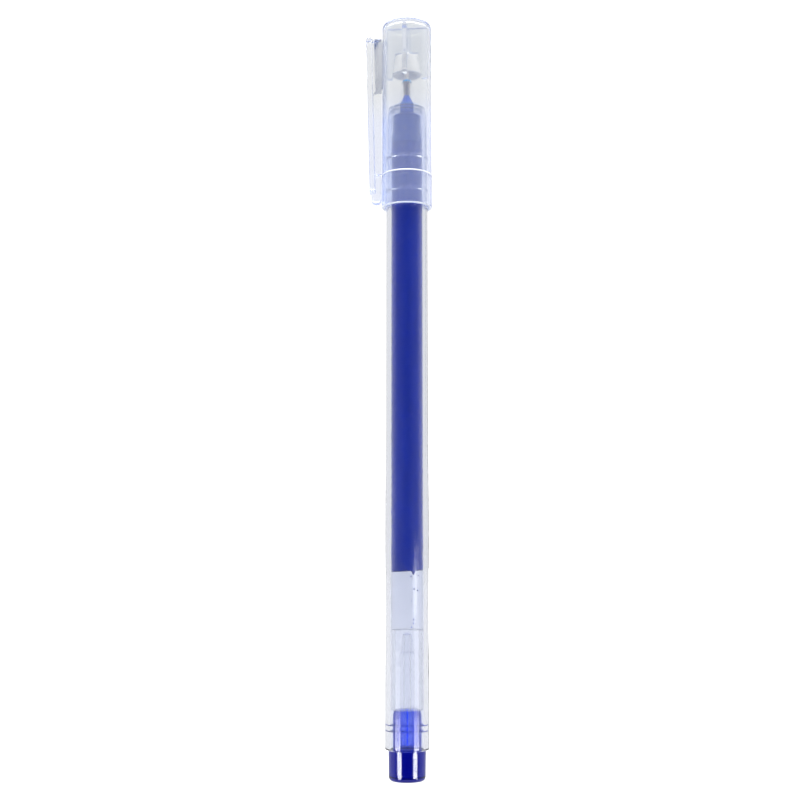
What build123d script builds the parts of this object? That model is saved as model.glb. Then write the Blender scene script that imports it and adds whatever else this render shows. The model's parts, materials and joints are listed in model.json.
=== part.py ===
"""Capped gel pen with a needle point, in millimetres.

The pen stands on its tail. The origin is the centre of the tail plug's flat end, +Z runs along the
pen to the top of the cap, and the pocket clip is on the -X side. Heights (..._Z) are measured from
the origin, and radii (..._R) from the pen's axis. Each function makes one piece.
"""
import os
from math import cos, radians, sin

from build123d import *

# Heights that several pieces share
BARREL_REAR_Z = 5.7  # the tail plug's head bears here
INSERT_TOP_Z = 13.1  # the ink tube stands here
STEM_TOP_Z = 27.1
GREASE_REAR_Z = 27.9
INK_REAR_Z = 38.9
SKIRT_REAR_Z = 123.0  # the holder's skirt starts here, inside the ink tube
LIP_REAR_Z = 129.5  # the ink tube's shoulder bears on the barrel's lip here
BARREL_FRONT_Z = 130.2  # the holder's flange sits here
NEEDLE_REAR_Z = 132.9
HOLDER_TOP_Z = 135.8
BALL_Z = 138.35
CAP_MOUTH_Z = 110.0
CAP_TOP_Z = 147.9

# Fits, on the radius
PRESS = 0.03
FOLLOWER_CLEARANCE = 0.02
BALL_CLEARANCE = 0.012

# Barrel
BARREL_R = 4.05
BARREL_STRAIGHT_Z = 67.0  # straight from here to the nose
BARREL_BELLY_R, BARREL_BELLY_Z = 4.18, 49.0
BARREL_WAIST_R, BARREL_WAIST_Z = 4.12, 25.0
BARREL_REAR_R, BARREL_REAR_TOP_Z = 4.215, 17.0
BARREL_BORE_R = 3.2
BARREL_SEAT_R, BARREL_SEAT_H = 4.0, 0.2  # slimmer under the cap, from a small shoulder
BARREL_FRONT_R = 3.95  # it tapers slightly from the shoulder to the nose
BARREL_NOSE_R, BARREL_NOSE_Z = 3.6, 127.4
LIP_R = 2.65
BEAD_R, BEAD_HALF = 4.16, 0.45  # the cap's bore runs over these two beads
BEAD_Z = (113.2, 119.8)

# Ink tube and what it holds
TUBE_R = 3.05
TUBE_BORE_R = 2.30
TUBE_NECK_R = 2.60
SKIRT_BORE_R = 1.725
SKIRT_MOUTH_R = 2.15
SKIRT_TAPER_Z = 125.2
SKIRT_TOP_Z = 128.4
NECK_Z = 129.0
CHANNEL_R = 0.83
CHANNEL_TOP_Z = 131.2

# Tip holder, needle and ball
FLANGE_R, FLANGE_TOP_Z = 2.5, 130.8
SHOULDER_R = 1.65
NOSE_BASE_R, NOSE_TOP_R = 1.3, 1.05
NEEDLE_R, NEEDLE_BORE_R = 0.45, 0.28
NEEDLE_TAPER_Z = 137.6
CRIMP_R, CRIMP_Z = 0.245, 138.42
BALL_R = 0.25

# Tail plug and stem
HEAD_END_R, HEAD_TOP_R = 3.48, 3.56
HEAD_EDGE = 0.8
INSERT_R, INSERT_TIP_R, INSERT_TAPER_Z = 2.70, 2.45, 12.0
SNAP_RING_Z = (9.2, 10.3)
SNAP_RING_HALF = 0.22
VENT_WIDTH, VENT_FLOOR_R = 0.6, 2.2
STEM_R, STEM_BORE_R = 1.375, 0.5
STEM_SEAT_Z = 6.6
STEM_COLLAR_R, STEM_COLLAR_Z, STEM_COLLAR_H = 1.48, 23.0, 0.55
STEM_NOSE_BASE_R, STEM_NOSE_TOP_R = 1.16, 0.84

# Cap
CAP_R, COLLAR_R = 4.9, 4.975
COLLAR_TOP_Z = 116.5
CAP_BORE_R = 4.19
CAP_ROOF = 1.0
CAP_EDGE = 1.1
FIN_THICKNESS = 0.8
FIN_TURN = -7  # degrees that the crossed fins are turned from the clip's plane
FIN_LOW_Z = 136.5

# Seal between the fins
SEAL_BASE_R, SEAL_TOP_R, SEAL_TOP_Z = 2.95, 2.35, 141.8
SEAL_DISH_R, SEAL_DISH_TOP_R, SEAL_DISH_H = 2.4, 1.0, 0.9
SEAL_POCKET_R, SEAL_POCKET_TOP_Z = 0.58, 138.95

# Pocket clip
CLIP_TOP_Z, CLIP_SPLIT_Z, CLIP_PLATE_END_Z, CLIP_NOSE_Z = 144.6, 133.9, 113.3, 110.9
CLIP_TOP_X, CLIP_END_X = -8.15, -7.35  # the plate's outer face leans in
CLIP_PLATE_THICKNESS, CLIP_PLATE_WIDTH = 1.15, 4.0
CLIP_RIB_X, CLIP_RIB_WIDTH = -5.0, 1.4
CLIP_NOSE_TOP_Z, CLIP_NOSE_OUT_X, CLIP_NOSE_IN_X, CLIP_NOSE_WIDTH = 116.8, -7.0, -5.04, 2.6
CLIP_TOP_CORNER, CLIP_NOSE_CORNER, CLIP_EDGE = 0.75, 0.9, 0.35
CLIP_SPLIT_GAP = 0.04
WEB_WIDTH, WEB_TOP_Z, WEB_LOW_Z = 1.0, 144.2, 136.3


def lathe(*points):
    """A solid turned about the pen's axis from its (radius, height) outline."""
    outline = make_face(Polyline(*[(r, 0, z) for r, z in points], close=True))
    return revolve(outline, Axis.Z)


def circles_at(shape, radius, height):
    """The circular edges of this radius and height."""
    return [
        edge
        for edge in shape.edges().filter_by(GeomType.CIRCLE)
        if abs(edge.radius - radius) < 1e-3 and abs(edge.center().Z - height) < 1e-3
    ]


def edges_at_y(shape, distance):
    """The edges that outline the shape's two side faces, this far from the clip's plane."""
    return [edge for edge in shape.edges() if abs(abs(edge.center().Y) - distance) < 1e-6]


def snap_ring(root_r, top_r, height, half):
    """A ring with sloping flanks around a round piece."""
    return lathe(
        (root_r, height - half),
        (top_r, height - half / 3),
        (top_r, height + half / 3),
        (root_r, height + half),
    )


def side_profile(width, *points):
    """A plate across Y, from its (x, z) outline in the clip's plane."""
    outline = make_face(Polyline(*[(x, 0, z) for x, z in points], close=True))
    return extrude(outline, width / 2, dir=(0, 1, 0), both=True)


def make_barrel():
    outer = [
        Spline(
            (BARREL_REAR_R, 0, BARREL_REAR_TOP_Z),
            (BARREL_WAIST_R, 0, BARREL_WAIST_Z),
            (BARREL_BELLY_R, 0, BARREL_BELLY_Z),
            (BARREL_R, 0, BARREL_STRAIGHT_Z),
            tangents=[(0, 0, 1), (0, 0, 1)],
        ),
        Polyline(
            (BARREL_R, 0, BARREL_STRAIGHT_Z),
            (BARREL_R, 0, CAP_MOUTH_Z - BARREL_SEAT_H / 2),
            (BARREL_SEAT_R, 0, CAP_MOUTH_Z + BARREL_SEAT_H / 2),
            (BARREL_FRONT_R, 0, BARREL_NOSE_Z),
            (BARREL_NOSE_R, 0, BARREL_FRONT_Z),
            (LIP_R, 0, BARREL_FRONT_Z),
            (LIP_R, 0, LIP_REAR_Z),
            (BARREL_BORE_R, 0, LIP_REAR_Z),
            (BARREL_BORE_R, 0, BARREL_REAR_Z),
            (BARREL_REAR_R, 0, BARREL_REAR_Z),
            (BARREL_REAR_R, 0, BARREL_REAR_TOP_Z),
        ),
    ]
    barrel = revolve(make_face(outer), Axis.Z)
    for height in BEAD_Z:
        barrel += snap_ring(BARREL_FRONT_R - 0.1, BEAD_R, height, BEAD_HALF)
    rims = circles_at(barrel, BARREL_REAR_R, BARREL_REAR_Z)
    rims += circles_at(barrel, BARREL_NOSE_R, BARREL_FRONT_Z)
    return fillet(rims, 0.2)


def make_ink_tube():
    return lathe(
        (TUBE_BORE_R, INSERT_TOP_Z),
        (TUBE_R, INSERT_TOP_Z),
        (TUBE_R, LIP_REAR_Z),
        (TUBE_NECK_R, LIP_REAR_Z),
        (TUBE_NECK_R, BARREL_FRONT_Z),
        (TUBE_BORE_R, BARREL_FRONT_Z),
    )


def make_ink_column():
    """The ink between the grease and the holder, which wets the tube's bore."""
    radius = TUBE_BORE_R + PRESS
    return lathe((0, INK_REAR_Z), (radius, INK_REAR_Z), (radius, SKIRT_REAR_Z), (0, SKIRT_REAR_Z))


def make_grease_follower():
    radius = TUBE_BORE_R - FOLLOWER_CLEARANCE
    return lathe((0, GREASE_REAR_Z), (radius, GREASE_REAR_Z), (radius, INK_REAR_Z), (0, INK_REAR_Z))


def ink_passage():
    """The (radius, height) outline of the holder's bore, from the skirt's mouth to the needle."""
    return [
        (SKIRT_MOUTH_R, SKIRT_REAR_Z),
        (SKIRT_BORE_R, SKIRT_TAPER_Z),
        (SKIRT_BORE_R, SKIRT_TOP_Z),
        (CHANNEL_R, NECK_Z),
        (CHANNEL_R, CHANNEL_TOP_Z),
        (NEEDLE_BORE_R, NEEDLE_REAR_Z),
    ]


def make_tip_holder():
    skirt_r = TUBE_BORE_R + PRESS
    holder = lathe(
        *ink_passage(),
        (NEEDLE_R, NEEDLE_REAR_Z),
        (NEEDLE_R, HOLDER_TOP_Z),
        (NOSE_TOP_R, HOLDER_TOP_Z),
        (NOSE_BASE_R, NEEDLE_REAR_Z),
        (SHOULDER_R, FLANGE_TOP_Z),
        (FLANGE_R, FLANGE_TOP_Z),
        (FLANGE_R, BARREL_FRONT_Z),
        (skirt_r, BARREL_FRONT_Z),
        (skirt_r, SKIRT_REAR_Z),
    )
    holder = fillet(circles_at(holder, NOSE_TOP_R, HOLDER_TOP_Z), 0.3)
    return fillet(circles_at(holder, FLANGE_R, FLANGE_TOP_Z), 0.2)


def make_tip_ink():
    """The ink that wets the holder's bore all over, and the thread of ink in the needle."""
    wetted = [(r + PRESS, z) for r, z in ink_passage()[:-1]]
    return lathe(
        (0, SKIRT_REAR_Z),
        *wetted,
        (NEEDLE_BORE_R, NEEDLE_REAR_Z),
        (NEEDLE_BORE_R, NEEDLE_TAPER_Z),
        (0, NEEDLE_TAPER_Z),
    )


def make_needle_tube():
    seat_r = BALL_R + BALL_CLEARANCE
    tube = lathe(
        (NEEDLE_BORE_R, NEEDLE_REAR_Z),
        (NEEDLE_R, NEEDLE_REAR_Z),
        (NEEDLE_R, NEEDLE_TAPER_Z),
        (CRIMP_R + 0.04, CRIMP_Z),
        (CRIMP_R, CRIMP_Z),
        (CRIMP_R, BALL_Z),
        (NEEDLE_BORE_R, NEEDLE_TAPER_Z),
    )
    return tube - Pos(0, 0, BALL_Z) * Sphere(seat_r)


def make_writing_ball():
    return Pos(0, 0, BALL_Z) * Sphere(BALL_R)


def make_rear_stem():
    collar_top = STEM_COLLAR_Z + STEM_COLLAR_H
    stem = lathe(
        (STEM_BORE_R, STEM_SEAT_Z),
        (STEM_R, STEM_SEAT_Z),
        (STEM_R, STEM_COLLAR_Z),
        (STEM_COLLAR_R, STEM_COLLAR_Z),
        (STEM_COLLAR_R, collar_top),
        (STEM_NOSE_BASE_R, collar_top),
        (STEM_NOSE_TOP_R, STEM_TOP_Z),
        (STEM_BORE_R, STEM_TOP_Z),
    )
    return fillet(circles_at(stem, STEM_NOSE_TOP_R, STEM_TOP_Z), 0.2)


def make_tail_plug():
    plug = lathe(
        (0, 0),
        (HEAD_END_R, 0),
        (HEAD_TOP_R, BARREL_REAR_Z),
        (INSERT_R, BARREL_REAR_Z),
        (INSERT_R, INSERT_TAPER_Z),
        (INSERT_TIP_R, INSERT_TOP_Z),
        (0, INSERT_TOP_Z),
    )
    plug = fillet(circles_at(plug, HEAD_END_R, 0), HEAD_EDGE)
    for height in SNAP_RING_Z:
        plug += snap_ring(INSERT_R - 0.1, BARREL_BORE_R + PRESS, height, SNAP_RING_HALF)
    socket_depth = INSERT_TOP_Z - STEM_SEAT_Z
    plug -= Pos(0, 0, STEM_SEAT_Z + socket_depth / 2) * Cylinder(STEM_R, socket_depth)
    groove_h = INSERT_TOP_Z - BARREL_REAR_Z
    groove_x = (VENT_FLOOR_R + BARREL_BORE_R + 1) / 2
    groove = Box(BARREL_BORE_R + 1 - VENT_FLOOR_R, VENT_WIDTH, groove_h)
    return plug - Pos(groove_x, 0, BARREL_REAR_Z + groove_h / 2) * groove


def make_tip_seal():
    seal = lathe(
        (SEAL_POCKET_R, FIN_LOW_Z + SEAL_DISH_H),
        (SEAL_DISH_TOP_R, FIN_LOW_Z + SEAL_DISH_H),
        (SEAL_DISH_R, FIN_LOW_Z),
        (SEAL_BASE_R, FIN_LOW_Z),
        (SEAL_TOP_R, SEAL_TOP_Z),
        (0, SEAL_TOP_Z),
        (0, SEAL_POCKET_TOP_Z),
        (SEAL_POCKET_R, SEAL_POCKET_TOP_Z),
    )
    return fillet(circles_at(seal, SEAL_BASE_R, FIN_LOW_Z), 0.15)


def seal_envelope():
    """The tapered space between the fins that the seal is pushed into."""
    below = 1.0
    return lathe(
        (0, FIN_LOW_Z - below),
        (SEAL_BASE_R, FIN_LOW_Z - below),
        (SEAL_BASE_R, FIN_LOW_Z),
        (SEAL_TOP_R, SEAL_TOP_Z),
        (0, SEAL_TOP_Z),
    )


def make_fins():
    """Crossed fins that stiffen the cap's top and grip the seal."""
    roof_z = CAP_TOP_Z - CAP_ROOF
    height = roof_z - FIN_LOW_Z + 0.3
    length = 2 * (CAP_BORE_R + 0.2)
    fin = Pos(0, 0, FIN_LOW_Z + height / 2) * Box(length, FIN_THICKNESS, height)
    cross = fin + Rot(0, 0, 90) * fin
    return Rot(0, 0, FIN_TURN) * cross - seal_envelope()


def make_clip():
    """The whole clip, root and arm, as one moulding."""

    def outer_x(height):
        lean = (CLIP_END_X - CLIP_TOP_X) / (CLIP_TOP_Z - CLIP_PLATE_END_Z)
        return CLIP_TOP_X + lean * (CLIP_TOP_Z - height)

    def inner_x(height):
        return outer_x(height) + CLIP_PLATE_THICKNESS

    plate = side_profile(
        CLIP_PLATE_WIDTH,
        (outer_x(CLIP_TOP_Z), CLIP_TOP_Z),
        (inner_x(CLIP_TOP_Z), CLIP_TOP_Z),
        (inner_x(CLIP_PLATE_END_Z), CLIP_PLATE_END_Z),
        (outer_x(CLIP_PLATE_END_Z), CLIP_PLATE_END_Z),
    )
    top_corner = plate.edges().filter_by(Axis.Y).sort_by(Axis.Z)[-2:].sort_by(Axis.X)[0]
    plate = fillet(top_corner, CLIP_TOP_CORNER)
    plate = fillet(edges_at_y(plate, CLIP_PLATE_WIDTH / 2), CLIP_EDGE)
    rib = side_profile(
        CLIP_RIB_WIDTH,
        (inner_x(CLIP_TOP_Z) - 0.1, CLIP_TOP_Z),
        (CLIP_RIB_X, CLIP_TOP_Z),
        (CLIP_RIB_X, CLIP_NOSE_TOP_Z),
        (inner_x(CLIP_PLATE_END_Z) - 0.1, CLIP_NOSE_TOP_Z),
    )
    nose = side_profile(
        CLIP_NOSE_WIDTH,
        (CLIP_NOSE_OUT_X, CLIP_NOSE_Z),
        (CLIP_NOSE_OUT_X, CLIP_NOSE_TOP_Z),
        (CLIP_NOSE_IN_X, CLIP_NOSE_TOP_Z),
        (CLIP_NOSE_IN_X, CLIP_NOSE_Z),
    )
    nose = fillet(nose.edges().filter_by(Axis.Y), CLIP_NOSE_CORNER)
    nose = fillet(edges_at_y(nose, CLIP_NOSE_WIDTH / 2), CLIP_EDGE)
    web = side_profile(
        WEB_WIDTH,
        (CLIP_RIB_X - 0.2, WEB_TOP_Z),
        (-CAP_BORE_R, WEB_TOP_Z),
        (-CAP_BORE_R, WEB_LOW_Z),
        (CLIP_RIB_X - 0.2, CLIP_SPLIT_Z),
    )
    return plate + rib + nose + web


def make_cap_shell():
    roof_z = CAP_TOP_Z - CAP_ROOF
    shell = lathe(
        (CAP_BORE_R, CAP_MOUTH_Z),
        (COLLAR_R, CAP_MOUTH_Z),
        (COLLAR_R, COLLAR_TOP_Z),
        (CAP_R, COLLAR_TOP_Z + 0.12),
        (CAP_R, CAP_TOP_Z),
        (0, CAP_TOP_Z),
        (0, roof_z),
        (CAP_BORE_R, roof_z),
    )
    shell = fillet(circles_at(shell, CAP_R, CAP_TOP_Z), CAP_EDGE)
    shell = fillet(circles_at(shell, CAP_BORE_R, roof_z), 0.5)
    shell = fillet(circles_at(shell, COLLAR_R, CAP_MOUTH_Z), 0.3)
    return shell + make_fins()


def make_clip_root():
    """The stiff top of the clip, moulded onto the cap's wall by its web."""
    root = split(make_clip(), Plane.XY.offset(CLIP_SPLIT_Z), keep=Keep.TOP)
    return root - lathe((0, CLIP_SPLIT_Z), (CAP_R, CLIP_SPLIT_Z), (CAP_R, CAP_TOP_Z), (0, CAP_TOP_Z))


def make_pocket_clip():
    """The springy arm of the clip, below its root."""
    cut = CLIP_SPLIT_Z - CLIP_SPLIT_GAP
    return split(make_clip(), Plane.XY.offset(cut), keep=Keep.BOTTOM)


PIECES = {
    "tail_plug": make_tail_plug,
    "rear_stem": make_rear_stem,
    "barrel": make_barrel,
    "ink_tube": make_ink_tube,
    "grease_follower": make_grease_follower,
    "ink_column": make_ink_column,
    "tip_holder": make_tip_holder,
    "tip_ink": make_tip_ink,
    "needle_tube": make_needle_tube,
    "writing_ball": make_writing_ball,
    "cap_shell": make_cap_shell,
    "tip_seal": make_tip_seal,
    "clip_root": make_clip_root,
    "pocket_clip": make_pocket_clip,
}

os.makedirs("parts", exist_ok=True)
for name, make in PIECES.items():
    export_step(make(), f"parts/{name}.step")
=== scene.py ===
"""Looks for a capped gel pen: frosted cap, clear barrel, blue gel ink and a white studio.

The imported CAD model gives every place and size. Lengths are in metres unless a name ends in _mm.
"""
import json
from math import cos, pi, radians, sin

import bmesh
import bpy
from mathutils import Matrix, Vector


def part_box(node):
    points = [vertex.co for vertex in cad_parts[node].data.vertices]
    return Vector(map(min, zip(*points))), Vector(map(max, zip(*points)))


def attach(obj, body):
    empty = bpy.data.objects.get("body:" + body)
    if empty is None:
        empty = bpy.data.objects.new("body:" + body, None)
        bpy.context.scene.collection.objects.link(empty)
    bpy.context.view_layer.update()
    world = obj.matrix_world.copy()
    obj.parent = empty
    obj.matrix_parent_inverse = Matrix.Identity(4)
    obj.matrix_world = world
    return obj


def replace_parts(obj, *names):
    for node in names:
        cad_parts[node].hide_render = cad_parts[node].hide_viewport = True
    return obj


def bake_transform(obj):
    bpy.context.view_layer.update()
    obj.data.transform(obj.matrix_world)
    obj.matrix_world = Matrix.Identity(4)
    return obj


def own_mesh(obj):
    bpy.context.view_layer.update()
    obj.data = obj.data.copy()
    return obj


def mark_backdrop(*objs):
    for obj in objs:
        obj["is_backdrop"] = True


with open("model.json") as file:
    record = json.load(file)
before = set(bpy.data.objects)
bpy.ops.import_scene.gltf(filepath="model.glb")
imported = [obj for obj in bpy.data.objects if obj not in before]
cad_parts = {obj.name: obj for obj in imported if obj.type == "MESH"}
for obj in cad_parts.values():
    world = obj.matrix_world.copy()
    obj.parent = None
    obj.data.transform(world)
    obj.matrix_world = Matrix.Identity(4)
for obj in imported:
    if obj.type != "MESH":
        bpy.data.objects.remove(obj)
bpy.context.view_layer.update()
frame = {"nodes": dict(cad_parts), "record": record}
NODES = frame["nodes"]
MM = 0.001

# ---------------------------------------------------------------- sizes read from the frame
INK_LOW, INK_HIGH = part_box("ink_column")
GREASE_LOW, GREASE_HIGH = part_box("grease_follower")
HOLDER_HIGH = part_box("tip_holder")[1]
CLIP_LOW, CLIP_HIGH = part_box("pocket_clip")
ROOT_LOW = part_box("clip_root")[0]
CAP_LOW, CAP_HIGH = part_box("cap_shell")
BARREL_LOW, BARREL_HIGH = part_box("barrel")
COLLAR_R = CAP_HIGH.x
COLLAR_TOP = 116.5 * MM
FLANGE_TOP = BARREL_HIGH.z + 0.6 * MM
BORE_R = GREASE_HIGH.x + 0.02 * MM  # the tube's bore, which the grease clears by 0.02 mm
WETTED_R = BORE_R + 0.035 * MM  # what wets the bore reaches just into its wall, so no air shows


# ---------------------------------------------------------------- shader helpers
def shader(name):
    """A new material, its node tree and its Principled node."""
    material = bpy.data.materials.new(name)
    material.use_nodes = True
    return material, material.node_tree, material.node_tree.nodes["Principled BSDF"]


def set_values(principled, **values):
    for name, value in values.items():
        principled.inputs[name.replace("_", " ")].default_value = value


def noise(tree, scale, detail=3.0, stretch=(1, 1, 1)):
    """A noise pattern in the object's own space, in features per metre, stretched along its axes."""
    place = tree.nodes.new("ShaderNodeTexCoord")
    mapping = tree.nodes.new("ShaderNodeMapping")
    mapping.inputs["Scale"].default_value = stretch
    pattern = tree.nodes.new("ShaderNodeTexNoise")
    pattern.inputs["Scale"].default_value = scale
    pattern.inputs["Detail"].default_value = detail
    tree.links.new(place.outputs["Object"], mapping.inputs["Vector"])
    tree.links.new(mapping.outputs["Vector"], pattern.inputs["Vector"])
    return pattern.outputs["Fac"]


def object_height(tree):
    """Height in the object's own space, which is the pen's."""
    place = tree.nodes.new("ShaderNodeTexCoord")
    split = tree.nodes.new("ShaderNodeSeparateXYZ")
    tree.links.new(place.outputs["Object"], split.inputs["Vector"])
    return split.outputs["Z"]


def between(tree, value, low, high, start=0.35, end=0.65):
    """A number that goes from low to high as the value goes from start to end."""
    ranged = tree.nodes.new("ShaderNodeMapRange")
    for name, limit in (("From Min", start), ("From Max", end), ("To Min", low), ("To Max", high)):
        ranged.inputs[name].default_value = limit
    tree.links.new(value, ranged.inputs["Value"])
    return ranged.outputs["Result"]


def math_node(tree, operation, *inputs):
    node = tree.nodes.new("ShaderNodeMath")
    node.operation = operation
    for k, value in enumerate(inputs):
        if isinstance(value, (int, float)):
            node.inputs[k].default_value = value
        else:
            tree.links.new(value, node.inputs[k])
    return node.outputs[0]


def mixed(tree, factor, first, second):
    """A colour between two, each given as (red, green, blue) or as a socket."""
    mix = tree.nodes.new("ShaderNodeMix")
    mix.data_type = "RGBA"
    for name, colour in (("A", first), ("B", second)):
        if isinstance(colour, tuple):
            mix.inputs[name].default_value = (*colour, 1)
        else:
            tree.links.new(colour, mix.inputs[name])
    tree.links.new(factor, mix.inputs["Factor"])
    return mix.outputs["Result"]


def blotches(tree, factor, first, second):
    """A colour that drifts between two tones with the pattern."""
    return mixed(tree, between(tree, factor, 0, 1), first, second)


def bumps(tree, principled, factor, height, strength):
    bump = tree.nodes.new("ShaderNodeBump")
    bump.inputs["Distance"].default_value = height
    bump.inputs["Strength"].default_value = strength
    tree.links.new(factor, bump.inputs["Height"])
    tree.links.new(bump.outputs["Normal"], principled.inputs["Normal"])


def absorb(tree, colour, density):
    """Lets the colour deepen with the way that light goes through the material."""
    depth = tree.nodes.new("ShaderNodeVolumeAbsorption")
    depth.inputs["Color"].default_value = (*colour, 1)
    depth.inputs["Density"].default_value = density
    tree.links.new(depth.outputs["Volume"], tree.nodes["Material Output"].inputs["Volume"])


# ---------------------------------------------------------------- materials
def plastic(name, tones, rough, see_through, grain, ior=1.49):
    """Moulded plastic: two close tones, a range of roughness, and a fine grain of (scale, height)."""
    material, tree, principled = shader(name)
    drift = noise(tree, 160, stretch=(1, 1, 0.25))
    fine = noise(tree, grain[0], detail=4)
    set_values(principled, IOR=ior, Transmission_Weight=see_through)
    tree.links.new(blotches(tree, drift, *tones), principled.inputs["Base Color"])
    tree.links.new(between(tree, fine, *rough), principled.inputs["Roughness"])
    bumps(tree, principled, fine, grain[1], 0.3)
    return material


def frosted_cap():
    """Satin plastic with a painted glow for the light it scatters: bluish round the ink, and whiter above
    it.
    """
    tones = ((0.89, 0.885, 0.83), (0.91, 0.905, 0.85))
    painted_glow_round_ink, painted_glow_above_ink = (0.011, 0.027, 0.100), (0.006, 0.014, 0.046)
    cap = plastic("cap_frosted", tones, (0.10, 0.16), 0.94, (2600, 0.006 * MM))
    tree = cap.node_tree
    principled = tree.nodes["Principled BSDF"]
    fade_start, fade_end = BARREL_HIGH.z - 3 * MM, BARREL_HIGH.z + 3 * MM
    above = between(tree, object_height(tree), 0, 1, fade_start, fade_end)
    painted_glow = mixed(tree, above, painted_glow_round_ink, painted_glow_above_ink)
    # painted light: the cap glows, bluish round the ink and whiter above it, in place of light scattered
    # in it
    tree.links.new(painted_glow, principled.inputs["Emission Color"])
    set_values(principled, Emission_Strength=1)
    absorb(tree, (0.88, 0.90, 0.95), 120)
    return cap


def painted_highlight_edge():
    """The cap's ridges, where the satin plastic looks white: a painted highlight for the light that they
    catch.
    """
    tones = ((0.90, 0.92, 0.95), (0.96, 0.97, 0.98))
    return plastic("edge_white", tones, (0.3, 0.4), 0.25, (3000, 0.01 * MM))


def barrel_plastic():
    tones = ((0.84, 0.865, 0.935), (0.855, 0.875, 0.945))
    return plastic("barrel_clear", tones, (0.04, 0.08), 1.0, (1500, 0.002 * MM))


def clear_plastic():
    tones = ((0.975, 0.98, 0.995), (0.985, 0.985, 0.995))
    return plastic("clear_plastic", tones, (0.02, 0.05), 1.0, (1200, 0.001 * MM))


def seal_rubber():
    """White rubber, in shade on its underside."""
    tones = ((0.95, 0.95, 0.96), (0.98, 0.98, 0.98))
    shade = (0.62, 0.64, 0.72)
    material = plastic("seal_white", tones, (0.3, 0.4), 0.18, (2200, 0.01 * MM))
    tree = material.node_tree
    base_colour = tree.nodes["Principled BSDF"].inputs["Base Color"]
    split = tree.nodes.new("ShaderNodeSeparateXYZ")
    tree.links.new(tree.nodes.new("ShaderNodeNewGeometry").outputs["Normal"], split.inputs["Vector"])
    facing_down = math_node(tree, "LESS_THAN", split.outputs["Z"], -0.3)
    tree.links.new(mixed(tree, facing_down, base_colour.links[0].from_socket, shade), base_colour)
    return material


def grease():
    tones = ((0.965, 0.97, 0.995), (0.985, 0.985, 0.995))
    return plastic("grease", tones, (0.03, 0.12), 0.97, (700, 0.004 * MM), 1.47)


def plug_plastic():
    """Blue plastic that thin walls let light through: its colour is in the depth of the material."""
    material, tree, principled = shader("plug_blue")
    fine = noise(tree, 1400, detail=4)
    surface = blotches(tree, noise(tree, 300), (0.97, 0.97, 1), (1, 1, 1))
    set_values(principled, IOR=1.5, Transmission_Weight=1.0)
    tree.links.new(surface, principled.inputs["Base Color"])
    tree.links.new(between(tree, fine, 0.06, 0.11), principled.inputs["Roughness"])
    bumps(tree, principled, fine, 0.002 * MM, 0.3)
    # painted glow: the insert glows blue where it sits in the barrel, in place of the light that the
    # barrel pipes into it
    in_barrel = math_node(tree, "GREATER_THAN", object_height(tree), BARREL_LOW.z + 0.1 * MM)
    set_values(principled, Emission_Color=(0.0, 0.12, 1, 1))
    tree.links.new(math_node(tree, "MULTIPLY", in_barrel, 0.07), principled.inputs["Emission Strength"])
    absorb(tree, (0.0, 0.18, 0.80), 1000)
    return material


def gel_ink(name, tones):
    """Blue gel, with faint streaks where it has dragged along the wall."""
    material, tree, principled = shader(name)
    streaks = noise(tree, 420, detail=5, stretch=(1, 1, 0.08))
    set_values(principled, IOR=1.38, Roughness=0.28)
    tree.links.new(blotches(tree, streaks, *tones), principled.inputs["Base Color"])
    bumps(tree, principled, streaks, 0.004 * MM, 0.2)
    return material


def ink_smear():
    """A thin film of ink on clear plastic, which is a bright cyan blue."""
    material, tree, principled = shader("ink_smear")
    streaks = noise(tree, 2400, detail=4)
    film = blotches(tree, streaks, (0.02, 0.30, 0.85), (0.10, 0.52, 0.95))
    set_values(principled, Roughness=0.25, IOR=1.38)
    tree.links.new(film, principled.inputs["Base Color"])
    bumps(tree, principled, streaks, 0.01 * MM, 0.3)
    return material


def metal(name, tone_a, tone_b, rough, metallic=1.0):
    """Drawn metal, with fine lines along the pen."""
    material, tree, principled = shader(name)
    drawn = noise(tree, 2500, detail=4, stretch=(1, 1, 0.05))
    set_values(principled, Metallic=metallic)
    tree.links.new(blotches(tree, drawn, tone_a, tone_b), principled.inputs["Base Color"])
    tree.links.new(between(tree, drawn, *rough), principled.inputs["Roughness"])
    return material


MATERIALS = {
    "cap_frosted": frosted_cap(),
    "barrel_clear": barrel_plastic(),
    "clear_plastic": clear_plastic(),
    "seal_white": seal_rubber(),
    "grease_clear": grease(),
    "plug_blue": plug_plastic(),
    "gel_ink": gel_ink("gel_ink", ((0.015, 0.052, 0.56), (0.021, 0.064, 0.62))),
    "thin_ink": gel_ink("thin_ink", ((0.025, 0.13, 0.85), (0.035, 0.16, 0.92))),
    "needle_steel": metal("needle_steel", (0.78, 0.74, 0.73), (0.86, 0.82, 0.81), (0.35, 0.5), 0.45),
    # edge_white: the cap's plastic painted white as a highlight on its ridges
    "edge_white": painted_highlight_edge(),
    "ink_smear": ink_smear(),
    "ball_carbide": metal("ball_carbide", (0.45, 0.45, 0.46), (0.52, 0.52, 0.53), (0.08, 0.15)),
}
LOOKS = {"tip_ink": "thin_ink"}  # the ink is lighter where it is thin


def dress(piece, material):
    piece.data.materials.clear()
    piece.data.materials.append(MATERIALS[material])


for part in frame["record"]["subparts"]:
    dress(NODES[part["node"]], LOOKS.get(part["node"], part["material_slot"]))


# ---------------------------------------------------------------- mesh helpers
def new_piece(name, bm, body, material):
    """Turns a bmesh into a piece, which rides on a body unless that is None."""
    mesh = bpy.data.meshes.new(name)
    bmesh.ops.recalc_face_normals(bm, faces=bm.faces)
    bm.to_mesh(mesh)
    bm.free()
    for face in mesh.polygons:
        face.use_smooth = True
    mesh.set_sharp_from_angle(angle=radians(30))
    piece = bpy.data.objects.new(name, mesh)
    bpy.context.scene.collection.objects.link(piece)
    dress(piece, material)
    if body:
        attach(piece, body)
    return piece


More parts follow.
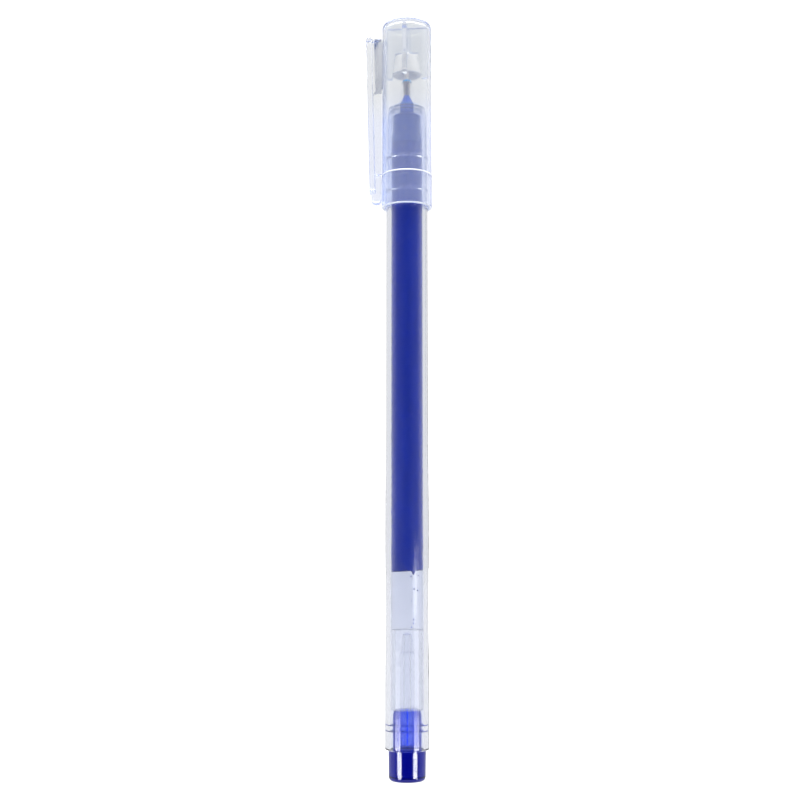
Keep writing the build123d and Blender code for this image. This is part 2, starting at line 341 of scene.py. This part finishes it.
def turned(outline, segments=96, shift=None):
    """A closed solid turned about the pen's axis from (radius, height) points.

    The points start and end on the axis. shift(radius, angle, height) may move a point's height.
    """
    bm = bmesh.new()
    rings = []
    for r, z in outline:
        if r == 0:
            lift = shift(0, 0, z) if shift else 0
            rings.append([bm.verts.new((0, 0, z + lift))])
            continue
        circle = []
        for k in range(segments):
            a = 2 * pi * k / segments
            lift = shift(r, a, z) if shift else 0
            circle.append(bm.verts.new((r * cos(a), r * sin(a), z + lift)))
        rings.append(circle)
    for lower, upper in zip(rings, rings[1:]):
        for k in range(segments):
            n = (k + 1) % segments
            if len(lower) == 1:
                bm.faces.new((lower[0], upper[k], upper[n]))
            elif len(upper) == 1:
                bm.faces.new((lower[k], lower[n], upper[0]))
            else:
                bm.faces.new((lower[k], lower[n], upper[n], upper[k]))
    return bm


def round_loop(r, z, half_width, half_height, count=12):
    """An oval of (radius, height) points about (r, z)."""
    turns = [2 * pi * k / count for k in range(count)]
    return [(r + half_width * cos(a), z + half_height * sin(a)) for a in turns]


def ring(name, body, material, outline, segments=128, smear=None):
    """A closed ring turned about the pen's axis from a loop of (radius, height) points.

    smear(angle) scales the loop about its first point.
    """
    bm = bmesh.new()
    r0, z0 = outline[0]
    loops = []
    for k in range(segments):
        a = 2 * pi * k / segments
        size = smear(a) if smear else 1
        scaled = [(r0 + (r - r0) * size, z0 + (z - z0) * size) for r, z in outline]
        loops.append([bm.verts.new((r * cos(a), r * sin(a), z)) for r, z in scaled])
    for k in range(segments):
        here, there = loops[k], loops[(k + 1) % segments]
        for i in range(len(outline)):
            j = (i + 1) % len(outline)
            bm.faces.new((here[i], there[i], there[j], here[j]))
    return new_piece(name, bm, body, material)


# ---------------------------------------------------------------- ink and grease in the tube
INK_TILT = 0.07  # the ink's rear end is slightly slanted across the view
INK_CORNER = 0.35 * MM
DRIP_X, DRIP_REACH, DRIP_LENGTH = 1.05 * MM, 0.45 * MM, 0.95 * MM
SHAPED_LENGTH = 1.5 * MM  # how far into the ink its slant and drip fade out


def ink_end_shift(r, angle, z):
    """How far the ink's rear end is from flat: slanted, with one drip on the near side."""
    x, y = r * cos(angle), r * sin(angle)
    near_end = max(0.0, 1 - (z - INK_LOW.z) / SHAPED_LENGTH)
    drip_y = -((BORE_R**2 - DRIP_X**2) ** 0.5)
    away = ((x - DRIP_X) ** 2 + (y - drip_y) ** 2) / DRIP_REACH**2
    drip = DRIP_LENGTH * max(0.0, 1 - away) ** 2
    return near_end * (INK_TILT * x - drip)


def make_ink():
    """The ink column, rounded at its rear end, which gets shorter as the ink is used."""
    rear = [(WETTED_R * k / 12, INK_LOW.z) for k in range(10)]
    corner = [
        (WETTED_R - INK_CORNER * (1 - sin(a)), INK_LOW.z + INK_CORNER * (1 - cos(a)))
        for a in (k * pi / 16 for k in range(9))
    ]
    side = [(WETTED_R, INK_LOW.z + INK_CORNER + 0.25 * MM * k) for k in range(1, 8)]
    front = [(WETTED_R, INK_HIGH.z), (0, INK_HIGH.z)]
    piece = new_piece("ink", turned(rear + corner + side + front, 128, ink_end_shift), "pen", "gel_ink")
    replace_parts(piece, "ink_column")
    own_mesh(piece)
    return piece


def make_grease():
    """Grease that follows the ink, and climbs the wall a little at the rear."""
    climb = 0.15 * MM
    front_z = GREASE_HIGH.z + 0.5 * MM  # inside the ink, so no gap opens along the slanted end
    rear = [
        (WETTED_R * k / 10, GREASE_LOW.z + climb * (1 - (k / 10) ** 4)) for k in range(11)
    ]
    front = [(WETTED_R, GREASE_HIGH.z), (WETTED_R - 0.05 * MM, front_z), (0, front_z)]
    piece = new_piece("grease", turned(rear + front, 128), "follower", "grease_clear")
    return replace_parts(piece, "grease_follower")


def make_specks():
    """Droplets of ink that the column has left on the tube's bore."""
    sideways_height_size_mm = [
        (0.62, 38.0, 0.12), (1.75, 38.1, 0.11), (1.12, 35.6, 0.15), (1.66, 35.35, 0.15),
        (0.7, 33.4, 0.09), (1.05, 29.9, 0.13), (1.0, 29.2, 0.12), (0.7, 28.5, 0.12),
    ]
    bm = bmesh.new()
    r = BORE_R - 0.01 * MM
    for x, z, size in sideways_height_size_mm:
        grown = bmesh.ops.create_icosphere(bm, subdivisions=2, radius=size * MM)["verts"]
        place = Vector((x * MM, -((r**2 - (x * MM) ** 2) ** 0.5), z * MM))
        bmesh.ops.translate(bm, verts=grown, vec=place)
    new_piece("ink_specks", bm, "follower", "gel_ink")


# ---------------------------------------------------------------- cap and holder
def make_seal():
    """The seal as it looks when pushed home: short, with a deep dish that shows the needle going in."""
    low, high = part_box("tip_seal")
    base, top = low.z + 0.65 * MM, high.z - 0.9 * MM
    dish_top, pocket_top = base + 1.3 * MM, low.z + 2.6 * MM
    pocket_r, dish_top_r, dish_r = 0.58 * MM, 1.0 * MM, 2.5 * MM
    base_r, top_r, chamfer = high.x - 0.05 * MM, high.x - 0.62 * MM, 0.1 * MM
    hollow = [(0, pocket_top), (pocket_r, pocket_top), (pocket_r, dish_top), (dish_top_r, dish_top)]
    rim = [(dish_r, base), (base_r - chamfer, base), (base_r, base + chamfer)]
    outline = hollow + rim + [(top_r, top), (0, top)]
    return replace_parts(new_piece("seal", turned(outline), "cap", "seal_white"), "tip_seal")


def make_cap_rings():
    """The ridge over the collar and the lip of the mouth, both painted white as highlights."""
    ridge = round_loop(
        COLLAR_R - 0.10 * MM, COLLAR_TOP + 0.05 * MM, half_width=0.09 * MM, half_height=0.15 * MM
    )
    ring("collar_ridge", "cap", "edge_white", ridge)
    lip = round_loop(
        COLLAR_R - 0.38 * MM, CAP_LOW.z + 0.14 * MM, half_width=0.30 * MM, half_height=0.13 * MM
    )
    ring("mouth_lip", "cap", "edge_white", lip)


def make_smears():
    """Ink that has crept out round the needle and under the holder's flange."""

    def uneven(a):
        return 1 + 0.35 * sin(3 * a + 0.7) + 0.15 * sin(7 * a)

    needle = round_loop(0.62 * MM, HOLDER_HIGH.z + 0.16 * MM, half_width=0.25 * MM, half_height=0.22 * MM)
    ring("needle_smear", "pen", "ink_smear", needle, smear=uneven)
    flange = round_loop(
        HOLDER_HIGH.x - 0.42 * MM, FLANGE_TOP + 0.03 * MM, half_width=0.33 * MM, half_height=0.06 * MM
    )
    ring("flange_smear", "pen", "ink_smear", flange, smear=uneven)


# ---------------------------------------------------------------- clip
SAME_HEIGHT = 1e-6
BEND_STEPS = 24  # the arm is cut into this many lengths along its height


def make_clip():
    """Root and arm as one moulding, the arm cut into lengths along the pen; the real arm bends out from
    its root.
    """
    bm = bmesh.new()
    for node in ("clip_root", "pocket_clip"):
        bm.from_mesh(NODES[node].data)
    piece_top = ROOT_LOW.z
    for vertex in bm.verts:  # close the thin cut between root and arm
        if CLIP_HIGH.z - SAME_HEIGHT < vertex.co.z < piece_top - SAME_HEIGHT:
            vertex.co.z = piece_top
    bmesh.ops.remove_doubles(bm, verts=bm.verts, dist=0.004 * MM)
    inner = [f for f in bm.faces if all(abs(v.co.z - piece_top) < SAME_HEIGHT for v in f.verts)]
    bmesh.ops.delete(bm, geom=inner, context="FACES_ONLY")
    for k in range(1, BEND_STEPS):
        height = CLIP_LOW.z + (piece_top - CLIP_LOW.z) * k / BEND_STEPS
        everything = bm.verts[:] + bm.edges[:] + bm.faces[:]
        bmesh.ops.bisect_plane(bm, geom=everything, plane_co=(0, 0, height), plane_no=(0, 0, 1))
    piece = new_piece("clip", bm, None, "cap_frosted")
    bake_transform(piece)
    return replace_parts(piece, "clip_root", "pocket_clip")


make_ink()
make_grease()
make_seal()
make_cap_rings()
make_smears()
make_specks()
make_clip()


# ---------------------------------------------------------------- studio
# how bright the walls are, against how far they are turned from the front, as a share of half a turn
WALLS = [(0.0, 0.02), (0.10, 0.02), (0.17, 0.12), (0.33, 0.16), (0.42, 0.5), (0.50, 1.0)]
MIRRORED_LOSS = 0.09  # the share of the walls' light that the pen's mirror images lose
FLOOR_TONES = ((0.46, 0.46, 0.47), (0.48, 0.48, 0.49))
FLOOR_MIRRORED = (0.42, 0.42, 0.42)
FLOOR_GLOW = 0.9
LAMP_TOPS = ((-1, -0.010), (1, 0.044))  # the left and right lamps' upper ends
LAMP_STEPS = ((-0.150, 21), (-0.092, 9), (-0.070, 2.4))  # where each part starts, and its radiance


def make_floor():
    """A pale floor that glows for the camera and for what it lights, but is softer through the pen."""
    bm = bmesh.new()
    bmesh.ops.create_circle(bm, cap_ends=True, radius=6, segments=64)
    mesh = bpy.data.meshes.new("floor")
    bm.to_mesh(mesh)
    bm.free()
    floor = bpy.data.objects.new("floor", mesh)
    bpy.context.scene.collection.objects.link(floor)
    material, tree, principled = shader("floor_white")
    set_values(principled, Roughness=0.9, Emission_Color=(1, 1, 1, 1))
    path = tree.nodes.new("ShaderNodeLightPath")
    lit = math_node(tree, "ADD", path.outputs["Is Camera Ray"], path.outputs["Diffuse Depth"])
    tree.links.new(math_node(tree, "MINIMUM", lit, FLOOR_GLOW), principled.inputs["Emission Strength"])
    mirrored = math_node(tree, "MINIMUM", path.outputs["Glossy Depth"], 1)
    tones = mixed(tree, mirrored, blotches(tree, noise(tree, 30), *FLOOR_TONES), FLOOR_MIRRORED)
    tree.links.new(tones, principled.inputs["Base Color"])
    mesh.materials.append(material)
    floor.visible_glossy = False
    floor.visible_shadow = False
    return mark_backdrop(floor)


def make_world(level=0.94, top=2.5, shown_level=1.15):
    """White walls and ceiling, with a dark gap on the camera's side, so the pen's front mirrors little."""
    world = bpy.data.worlds.new("studio")
    bpy.context.scene.world = world
    world.use_nodes = True
    tree = world.node_tree
    background = tree.nodes["Background"]
    background.inputs["Color"].default_value = (1, 1, 1, 1)
    place = tree.nodes.new("ShaderNodeTexCoord")
    split = tree.nodes.new("ShaderNodeSeparateXYZ")
    tree.links.new(place.outputs["Generated"], split.inputs["Vector"])
    x, y, z = (split.outputs[axis] for axis in "XYZ")

    def math(operation, *inputs):
        return math_node(tree, operation, *inputs)

    def ramp(value, stops):
        node = tree.nodes.new("ShaderNodeValToRGB")
        node.color_ramp.interpolation = "EASE"
        points = node.color_ramp.elements
        while len(points) < len(stops):
            points.new(0.5)
        for point, (position, grey) in zip(points, stops):
            point.position = position
            point.color = (grey, grey, grey, 1)
        tree.links.new(value, node.inputs["Fac"])
        return node.outputs["Color"]

    # 0 straight at the camera's side, 0.5 at the sides and 1 behind the pen
    facing = math("ARCTAN2", x, math("MULTIPLY", y, -1))
    turn = math("DIVIDE", math("ABSOLUTE", facing), pi)
    walls = ramp(turn, WALLS)
    heights = ramp(math("ABSOLUTE", math("SUBTRACT", z, 0.05)), [(0.45, 1), (0.65, 0)])
    path = tree.nodes.new("ShaderNodeLightPath")
    direct = math("LESS_THAN", path.outputs["Diffuse Depth"], 0.5)  # what lights the ink sees no gap
    gap = math("MULTIPLY", math("MULTIPLY", math("SUBTRACT", 1, walls), heights), direct)
    mirrored = math("MULTIPLY", math("MINIMUM", path.outputs["Glossy Depth"], 1), direct)
    kept = math("SUBTRACT", 1, math("MULTIPLY", mirrored, MIRRORED_LOSS))
    lit = math("MULTIPLY", math("MULTIPLY", level, math("SUBTRACT", 1, gap)), kept)
    lit = math("ADD", lit, math("MULTIPLY", top, ramp(z, [(0.6, 0), (0.8, 1)])))
    seen = path.outputs["Is Camera Ray"]
    shown = math("MULTIPLY", seen, shown_level)
    strength = math("ADD", math("MULTIPLY", lit, math("SUBTRACT", 1, seen)), shown)
    tree.links.new(strength, background.inputs["Strength"])


def softbox(side, low, high, radiance, azimuth=50, width=0.34, distance=0.7):
    """A tall lamp facing the pen, to the left (-1) or right (1) of the front, between two heights."""
    lamp = bpy.data.lights.new("softbox", "AREA")
    lamp.shape = "RECTANGLE"
    lamp.size = width
    lamp.size_y = high - low
    lamp.energy = radiance * pi * width * (high - low)
    box = bpy.data.objects.new("softbox", lamp)
    bpy.context.scene.collection.objects.link(box)
    a = radians(azimuth) * side
    box.location = (distance * sin(a), -distance * cos(a), (low + high) / 2)
    aim = Vector((-box.location.x, -box.location.y, 0))
    box.rotation_euler = aim.to_track_quat("-Z", "Y").to_euler()


def make_lights():
    """The lamps stand low, and dim with height: only the tail end mirrors their bright foot."""
    lows = [low for low, _ in LAMP_STEPS]
    for side, top in LAMP_TOPS:
        for (low, radiance), high in zip(LAMP_STEPS, lows[1:] + [top]):
            softbox(side, low, high, radiance)


def make_camera():
    """Front view from slightly below the middle, tipped up, as the pen is seen against white."""
    camera = bpy.data.cameras.new("camera")
    camera.sensor_width = 36
    camera.lens = 58.5
    camera.clip_start = 0.01
    eye = bpy.data.objects.new("camera", camera)
    bpy.context.scene.collection.objects.link(eye)
    eye.location = (-1.36 * MM, -250.5 * MM, 41.1 * MM)
    eye.rotation_euler = (radians(90 + 7), 0, 0)
    bpy.context.scene.camera = eye


make_floor()
make_world()
make_lights()
make_camera()

scene = bpy.context.scene
scene.view_settings.view_transform = "Standard"
scene.cycles.max_bounces = 40
scene.cycles.transmission_bounces = 40
scene.cycles.glossy_bounces = 12
scene.cycles.use_denoising = True
